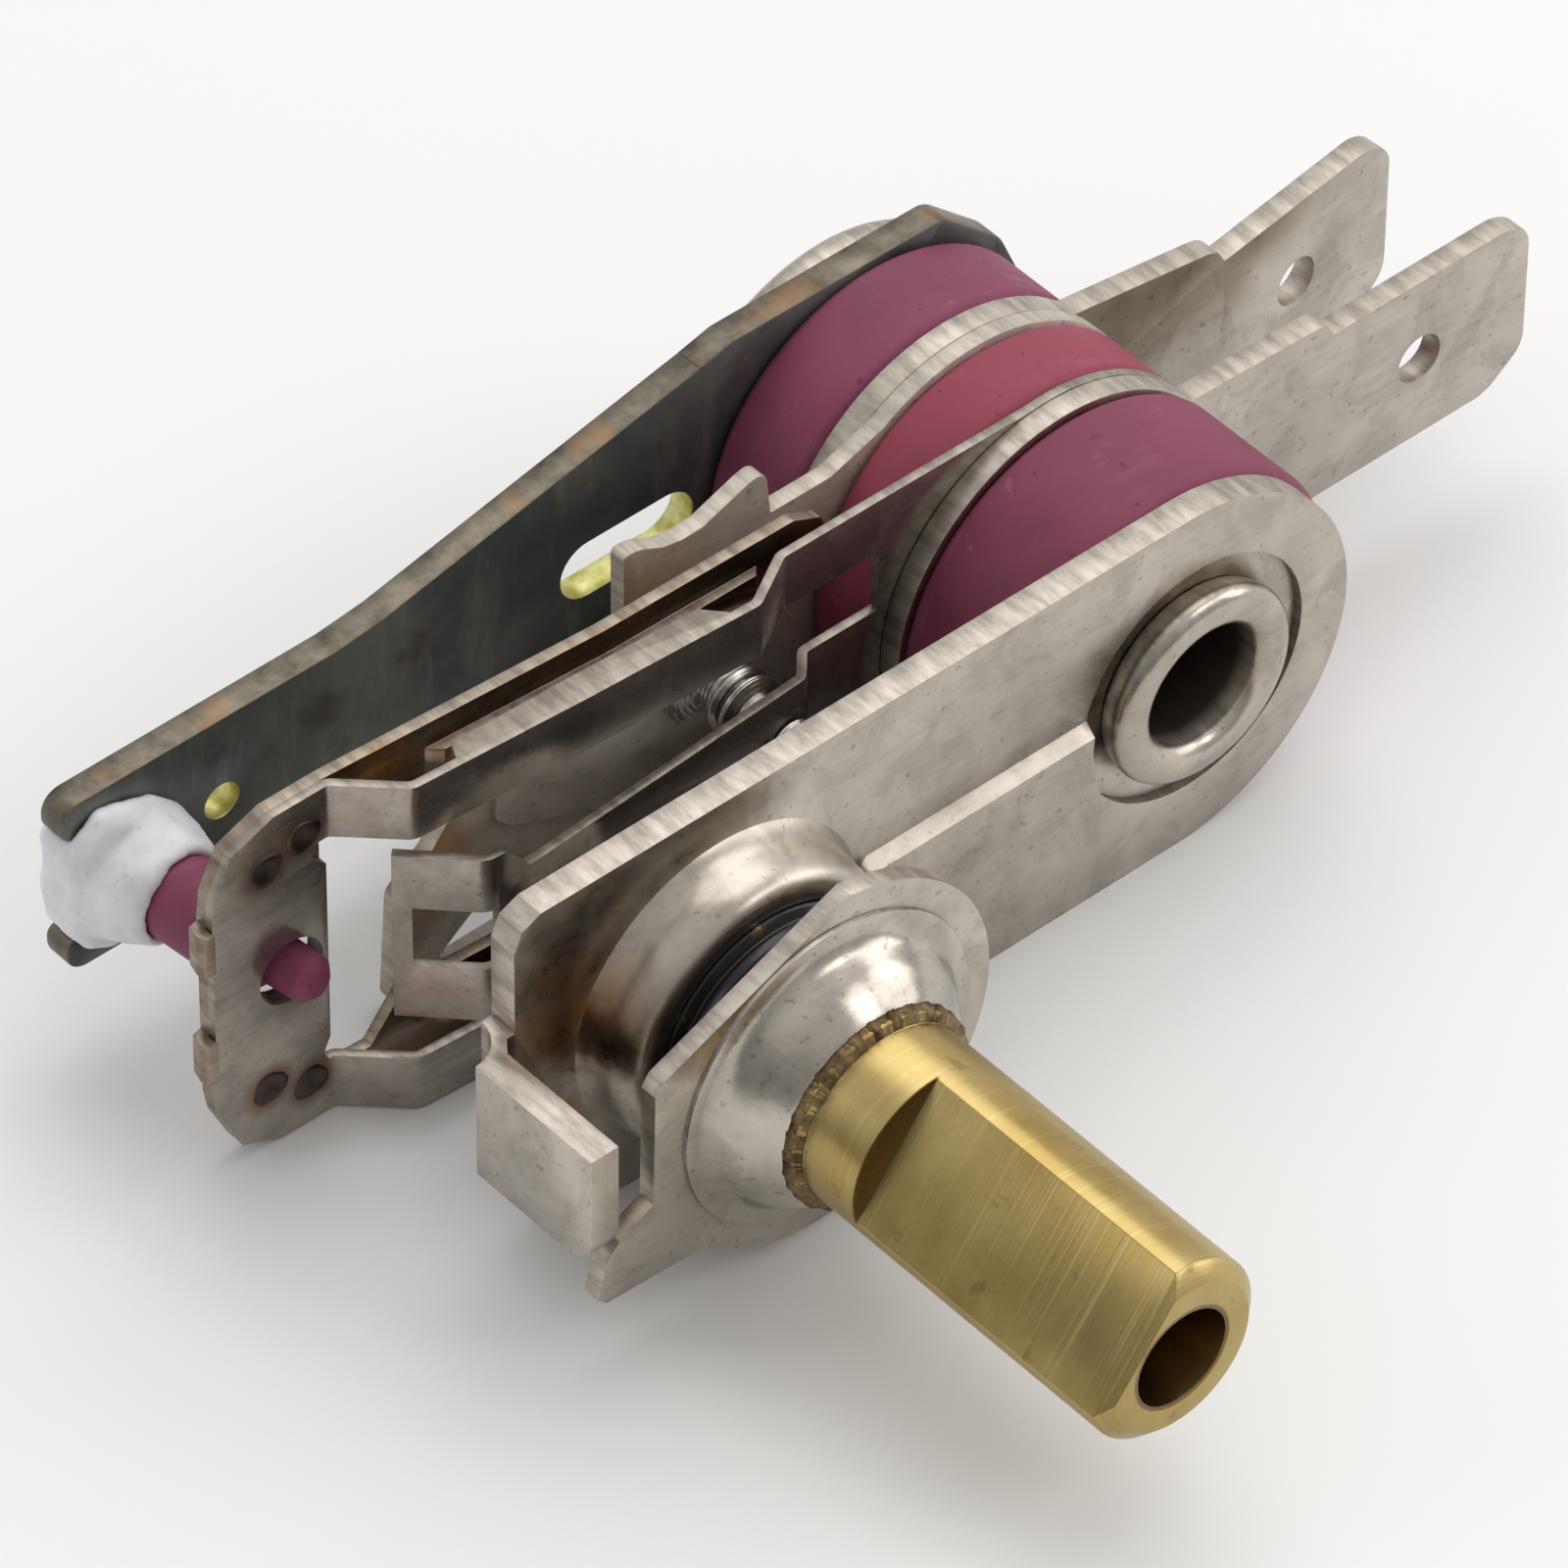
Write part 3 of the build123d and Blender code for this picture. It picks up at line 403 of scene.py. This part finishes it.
MATS = {
    "front_bracket": nickel("bracket_nickel_look", edge="ear", cut_y=0.0, tints_and_reflections=[
        ((-23.9, 0, 2.4), 0.6, 3.2, ORANGE, 0.95), ((-22.8, 0, 5.4), 0.4, 1.9, BROWN, 0.7), ((-24.4, 0, -2.0), 0.3, 1.8, BROWN, 0.8),
        # the next entry is a dark reflection painted onto the boss's left wall; the others are heat tints
        ((-23.4, -1.2, 0.4), 0.8, 2.7, (0.05, 0.035, 0.025), 0.85)],
        # these dark spots paint shade onto the ends of the pressed rib
        spots_and_shade=[((-3.75, -0.1, 1.0), 0.3, 0.75, (0.05, 0.045, 0.045), 0.9), ((-3.4, -0.1, -0.6), 0.4, 1.0, (0.05, 0.05, 0.055), 0.8),
               ((-13.3, -0.1, 0.9), 0.25, 0.6, (0.05, 0.04, 0.035), 0.85)]),
    # the rivet's bore is painted dark as shade
    "tube_rivet": nickel("rivet_nickel_look", light=(0.58, 0.53, 0.46), dark=(0.34, 0.3, 0.26), rough=(0.16, 0.28), wave=0.012, bore=2.25),
    "rear_washer": nickel("washer_nickel_look", wave=0.02),
    "ceramic_front": steatite("steatite_front_look", (0.25, 0.05, 0.10), (0.165, 0.03, 0.062)),
    "ceramic_middle": steatite("steatite_middle_look", (0.31, 0.052, 0.09), (0.22, 0.034, 0.06)),
    "ceramic_rear": steatite("steatite_rear_look", (0.25, 0.053, 0.11), (0.155, 0.032, 0.068)),
    "terminal_front": nickel("terminal_front_look", wave=0.012, rough=(0.24, 0.4)),
    "terminal_rear": nickel("terminal_rear_look", wave=0.012, rough=(0.24, 0.4), light=(0.64, 0.58, 0.5)),
    "blade_root": spring("spring_root_look"),
    "blade_frame": spring("spring_frame_look", spots_and_shade=halos, tints_and_reflections=[((-24.6, 8, 5.4), 0.3, 1.6, ORANGE, 0.6)]),
    "contact_tongue": spring("spring_tongue_look", tints_and_reflections=[((-23.5, 6.2, -2.4), 0.3, 2.0, PINK, 0.6)]),
    "frame_stiffener": nickel("stiffener_look", light=(0.44, 0.36, 0.28), dark=(0.22, 0.165, 0.12), rough=(0.18, 0.32), streak=0.7,
                              shear=((0.14, 0.115, 0.09), (0.34, 0.29, 0.235)),
                              spots_and_shade=halos, tints_and_reflections=[((-24.2, 8.3, 5.4), 0.3, 2.2, ORANGE, 0.9), ((-8.5, 7.5, 5.4), 0.4, 2.0, BROWN, 0.8)]),
    # painted light: this nickel is paler and less metallic than the rest, standing in for the light the arm reflects
    "contact_arm": nickel("arm_nickel_look", metal=0.5, light=(0.80, 0.74, 0.65), dark=(0.6, 0.53, 0.44), rough=(0.26, 0.4), tints_and_reflections=[
        ((-20.8, 9.8, -1.5), 0.4, 2.6, ORANGE, 0.95), ((-12.8, 9.8, 4.6), 0.6, 2.8, ORANGE, 0.8), ((-17.4, 9.6, -3.6), 0.2, 0.7, ORANGE, 0.8)]),
    "fixed_contact": silver("contact_silver_fixed_look"),
    "moving_contact": silver("contact_silver_moving_look"),
    "bimetal_clamp": bimetal("bimetal_clamp_look"),
    "bimetal_strip": bimetal("bimetal_strip_look"),
    "push_pin": steatite("pin_ceramic_look", (0.27, 0.055, 0.12), (0.15, 0.03, 0.065)),
    "pin_cement": cement("cement_white_look"),
    "shaft": brass("shaft_brass_look"),
    "stop_collar": nickel("collar_nickel_look", cut_y=-4.85, wave=0.05, rough=(0.15, 0.28), light=(0.62, 0.57, 0.5)),
    "calibration_screw": nickel("screw_steel_look", light=(0.3, 0.26, 0.2), dark=(0.14, 0.12, 0.09)),
    "spindle_tip": steatite("tip_ceramic_look", (0.72, 0.69, 0.62), (0.6, 0.56, 0.5)),
}


# ---------------------------------------------------------------- detailed copies of the CAD pieces
def new_piece(name, mesh, material, body):
    ob = bpy.data.objects.new(name, mesh)
    scene.collection.objects.link(ob)
    mesh.materials.clear()
    mesh.materials.append(material)
    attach(ob, body)
    return ob


HINGE = JOINT["bimetal_bend"]["pos_m"][0]  # the bending line, where the sheets are slit


def detail(node, width, segments=2, angle=32.0, dissolve=0.7, shape=None, close=False, corner=0.0, soften=None):
    """The node's own shape with its sharp edges broken, as pressed or turned metal has them.

    close moves the faces beside the bending line onto it, so that the sheet reads as one piece.
    corner rounds the outline's own corners, which run along the plate's thickness.
    soften gives the share of the width that an edge's middle gets, 0 to 1.
    """
    me = NODES[node].data.copy()
    if "custom_normal" in me.attributes:
        me.attributes.remove(me.attributes["custom_normal"])
    bm = bmesh.new()
    bm.from_mesh(me)
    bmesh.ops.remove_doubles(bm, verts=bm.verts, dist=1e-6)
    bmesh.ops.dissolve_limit(bm, angle_limit=math.radians(dissolve), verts=bm.verts, edges=bm.edges)
    if close:
        for v in bm.verts:
            if abs(v.co.x - HINGE) < 0.08 * MM:
                v.co.x = HINGE
    if corner:
        turn = []
        for ed in bm.edges:
            d = ed.verts[1].co - ed.verts[0].co
            if len(ed.link_faces) != 2 or d.length > 1.3 * MM or abs(d.y) < 0.9 * d.length or not ed.is_convex:
                continue
            if close and abs(ed.verts[0].co.x - HINGE) < 1e-6:
                continue
            if math.radians(18) < ed.calc_face_angle(0) < math.radians(100):
                turn.append(ed)
        bmesh.ops.bevel(bm, geom=turn, offset=corner * MM, offset_type="OFFSET", segments=4, profile=0.5,
                        affect="EDGES", clamp_overlap=True)
        bmesh.ops.remove_doubles(bm, verts=bm.verts, dist=1e-6)
    weight = bm.edges.layers.float.new("bevel_weight_edge")
    for ed in bm.edges:
        on_line = close and all(abs(v.co.x - HINGE) < 1e-6 for v in ed.verts)
        if len(ed.link_faces) == 2 and ed.calc_face_angle(0) > math.radians(angle) and not on_line:
            ed[weight] = soften((ed.verts[0].co + ed.verts[1].co) * 500) if soften else 1.0
    bm.to_mesh(me)
    bm.free()
    tmp = bpy.data.objects.new("tmp", me)
    scene.collection.objects.link(tmp)
    mod = tmp.modifiers.new("b", "BEVEL")
    mod.width, mod.segments, mod.limit_method = width * MM, segments, "WEIGHT"
    mod.use_clamp_overlap, mod.harden_normals, mod.miter_outer = True, False, "MITER_ARC"
    tri = tmp.modifiers.new("t", "TRIANGULATE")
    tri.quad_method, tri.ngon_method = "BEAUTY", "BEAUTY"
    dg = bpy.context.evaluated_depsgraph_get()
    out = bpy.data.meshes.new_from_object(tmp.evaluated_get(dg), preserve_all_data_layers=False, depsgraph=dg)
    bpy.data.objects.remove(tmp)
    if shape:
        for v in out.vertices:
            v.co = shape(v.co)
    out.polygons.foreach_set("use_smooth", [True] * len(out.polygons))
    out.set_sharp_from_angle(angle=math.radians(34))
    out.update()
    ob = new_piece(node + "_finished", out, MATS[node], BODY[node])
    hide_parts(node)
    return ob


def keep(node):
    o = NODES[node]
    o.data.materials.clear()
    o.data.materials.append(MATS[node])
    return o


BEVEL = {
    "front_bracket": 0.13, "tube_rivet": 0.06, "rear_washer": 0.12, "terminal_front": 0.09, "terminal_rear": 0.09,
    "blade_root": 0.06, "blade_frame": 0.06, "contact_tongue": 0.06, "frame_stiffener": 0.08, "contact_arm": 0.08,
    "bimetal_clamp": 0.1, "bimetal_strip": 0.1, "ceramic_front": 0.12, "ceramic_middle": 0.12, "ceramic_rear": 0.12,
    "stop_collar": 0.1, "fixed_contact": 0.05, "moving_contact": 0.05, "shaft": 0.05, "push_pin": 0.06,
}
SLIT = ("blade_root", "blade_frame", "contact_tongue", "bimetal_clamp", "bimetal_strip")
CORNER = {
    "front_bracket": 0.5, "terminal_front": 0.45, "terminal_rear": 0.45, "blade_frame": 0.9, "contact_tongue": 0.3,
    "frame_stiffener": 0.9, "contact_arm": 0.5, "bimetal_strip": 0.35, "bimetal_clamp": 0.3, "stop_collar": 0.35,
}


def rib_edges(m):
    """The pressed ribs of the stiffener are well rounded, its cut edges are not."""
    rib = -22.8 < m.x < -9.9 and 4.3 < abs(m.z) < 5.8
    return 1.0 if rib else 0.3


for node, w in BEVEL.items():
    if node == "frame_stiffener":
        detail(node, 0.22, segments=3, corner=CORNER[node], soften=rib_edges)
    else:
        detail(node, w, close=node in SLIT, corner=CORNER.get(node, 0.0))
for node in ("calibration_screw", "spindle_tip"):
    keep(node)


# ---------------------------------------------------------------- cement: a brushed-on lump
def cement_lump():
    me = NODES["pin_cement"].data.copy()
    if "custom_normal" in me.attributes:
        me.attributes.remove(me.attributes["custom_normal"])
    ob = bpy.data.objects.new("tmp", me)
    scene.collection.objects.link(ob)
    r = ob.modifiers.new("r", "REMESH")
    r.mode, r.voxel_size = "VOXEL", 0.11 * MM
    s = ob.modifiers.new("s", "SMOOTH")
    s.factor, s.iterations = 0.5, 14
    dg = bpy.context.evaluated_depsgraph_get()
    out = bpy.data.meshes.new_from_object(ob.evaluated_get(dg), preserve_all_data_layers=False, depsgraph=dg)
    bpy.data.objects.remove(ob)
    lo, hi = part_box("pin_cement")
    for v in out.vertices:
        n = v.normal.copy()
        d = mnoise.noise(v.co * 700) * 0.16 + mnoise.noise(v.co * 1900) * 0.04
        p = v.co + n * d * MM
        v.co = Vector(min(max(p[i], lo[i] + 1e-6), hi[i] - 1e-6) for i in range(3))
    out.polygons.foreach_set("use_smooth", [True] * len(out.polygons))
    piece = new_piece("pin_cement_lump", out, MATS["pin_cement"], BODY["pin_cement"])
    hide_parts("pin_cement")


cement_lump()


# ---------------------------------------------------------------- staking crust round the shaft
def crust_ring():
    """A ragged ring of swaged metal where the collar is staked to the shaft."""
    bm = bmesh.new()
    rnd = random.Random(11)
    count, prof = 240, [(3.02, -6.70), (3.26, -6.74), (3.36, -6.86), (3.33, -7.02), (3.20, -7.20), (3.02, -7.30)]
    rings = []
    for i in range(count):
        a = 2 * math.pi * i / count
        tooth = 1.0 if (i // 4) % 2 else 0.0
        jag = rnd.uniform(-0.045, 0.045)
        ring = []
        for k, (r, y) in enumerate(prof):
            rr = r + (0 if k in (0, 5) else tooth * 0.05 + jag * 0.6)
            yy = y - (tooth * 0.05 + jag if k in (3, 4) else 0)
            ring.append(bm.verts.new((sx + rr * MM * math.cos(a), yy * MM, rr * MM * math.sin(a))))
        rings.append(ring)
    n = len(prof)
    for i in range(count):
        a, b = rings[i], rings[(i + 1) % count]
        for k in range(n):
            bm.faces.new((a[k], a[(k + 1) % n], b[(k + 1) % n], b[k]))
    bmesh.ops.recalc_face_normals(bm, faces=bm.faces)
    me = bpy.data.meshes.new("staking_crust")
    bm.to_mesh(me)
    bm.free()
    me.polygons.foreach_set("use_smooth", [True] * len(me.polygons))
    me.set_sharp_from_angle(angle=math.radians(50))
    new_piece("staking_crust", me, crust("staking_crust_look"), "spindle")


crust_ring()


# ---------------------------------------------------------------- spot welds on the end plate
def weld_dot(i, x, z):
    bm = bmesh.new()
    rnd = random.Random(20 + i)
    y0 = (7.85 + 0.006)
    rows, seg = [(0.62, 0.012), (0.5, 0.05), (0.4, 0.045), (0.22, 0.015)], 28
    base = [[], [], [], []]
    for s in range(seg):
        a = 2 * math.pi * s / seg
        w = 1 + 0.06 * math.sin(3 * a + i) + rnd.uniform(-0.02, 0.02)
        for k, (r, h) in enumerate(rows):
            base[k].append(bm.verts.new(((x + r * w * math.cos(a)) * MM, (y0 - h) * MM, (z + r * w * math.sin(a) * 0.95) * MM)))
    mid = bm.verts.new((x * MM, (y0 - 0.012) * MM, z * MM))
    under = [bm.verts.new((v.co.x, (y0 + 0.02) * MM, v.co.z)) for v in base[0]]
    for s in range(seg):
        t = (s + 1) % seg
        bm.faces.new((under[s], under[t], base[0][t], base[0][s]))
        for k in range(3):
            bm.faces.new((base[k][s], base[k][t], base[k + 1][t], base[k + 1][s]))
        bm.faces.new((base[3][s], base[3][t], mid))
    bm.faces.new(under)
    bmesh.ops.recalc_face_normals(bm, faces=bm.faces)
    me = bpy.data.meshes.new(f"spot_weld_{i}")
    bm.to_mesh(me)
    bm.free()
    me.polygons.foreach_set("use_smooth", [True] * len(me.polygons))
    new_piece(f"spot_weld_{i}", me, WELD, "frame")


WELD = weld("spot_weld_look")
for i, (x, z) in enumerate(WELDS):
    weld_dot(i, x, z)


# ---------------------------------------------------------------- floor, light and camera
floor_me = bpy.data.meshes.new("floor")
bm = bmesh.new()
bmesh.ops.create_grid(bm, x_segments=2, y_segments=2, size=1.5)
bm.to_mesh(floor_me)
bm.free()
floor = bpy.data.objects.new("floor", floor_me)
scene.collection.objects.link(floor)
floor.location = (0, 0, cad_lo.z)
g = Mat("floor_look")
fc = g.mix(g.lin(g.noise(9, 3, 0.5), 0.3, 0.7), (0.86, 0.86, 0.86), (0.88, 0.88, 0.88))
floor_me.materials.append(g.done(fc, 0.75))


def area(name, direction, dist, size, power, color=(1, 1, 1)):
    li = bpy.data.lights.new(name, "AREA")
    li.shape, li.size, li.size_y = "RECTANGLE", size[0], size[1]
    li.energy, li.color = power, color
    ob = bpy.data.objects.new(name, li)
    scene.collection.objects.link(ob)
    d = Vector(direction).normalized()
    centre = (cad_lo + cad_hi) / 2
    ob.location = centre + d * dist
    ob.rotation_euler = d.to_track_quat("Z", "Y").to_euler()
    return ob


area("key", (0.40, 0.30, 1.0), 0.6, (0.55, 0.45), 1.15)
area("side", (1.0, -0.45, 0.5), 0.5, (0.25, 0.3), 0.42)
area("front", (0.42, -0.62, 0.66), 0.5, (0.16, 0.16), 0.2)
area("left", (-0.9, 0.5, 0.55), 0.5, (0.12, 0.3), 0.16)

world = bpy.data.worlds.new("studio")
scene.world = world
world.use_nodes = True
nt = world.node_tree
nt.nodes.clear()
wo = nt.nodes.new("ShaderNodeOutputWorld")
bg = nt.nodes.new("ShaderNodeBackground")
nt.links.new(bg.outputs[0], wo.inputs[0])
tc = nt.nodes.new("ShaderNodeTexCoord")
dot = nt.nodes.new("ShaderNodeVectorMath")
dot.operation = "DOT_PRODUCT"
nt.links.new(tc.outputs["Generated"], dot.inputs[0])
dot.inputs[1].default_value = Vector((0.55, 0.25, 0.8)).normalized()
mr = nt.nodes.new("ShaderNodeMapRange")
nt.links.new(dot.outputs["Value"], mr.inputs["Value"])
mr.inputs["From Min"].default_value, mr.inputs["From Max"].default_value = -0.6, 0.9
mr.inputs["To Min"].default_value, mr.inputs["To Max"].default_value = 0.22, 0.88
nt.links.new(mr.outputs[0], bg.inputs["Strength"])
bg.inputs["Color"].default_value = (1.0, 0.99, 0.975, 1)

a, e, roll = math.radians(-41.562), math.radians(44.364), math.radians(0.555)
c = Vector((math.sin(a) * math.cos(e), -math.cos(a) * math.cos(e), math.sin(e)))
r = Vector((math.cos(a), math.sin(a), 0))
u = c.cross(r)
r2 = math.cos(roll) * r + math.sin(roll) * u
u2 = -math.sin(roll) * r + math.cos(roll) * u
cam = bpy.data.objects.new("camera", bpy.data.cameras.new("camera"))
scene.collection.objects.link(cam)
cam.data.sensor_width, cam.data.lens = 36.0, 12706.3 * 36.0 / 1600.0
cam.data.clip_start, cam.data.clip_end = 0.01, 10
eye = Vector((-0.181628, -0.187015, 0.250256))
cam.matrix_world = Matrix(((r2.x, u2.x, c.x, eye.x), (r2.y, u2.y, c.y, eye.y), (r2.z, u2.z, c.z, eye.z), (0, 0, 0, 1)))
scene.camera = cam
scene.view_settings.view_transform = "Standard"
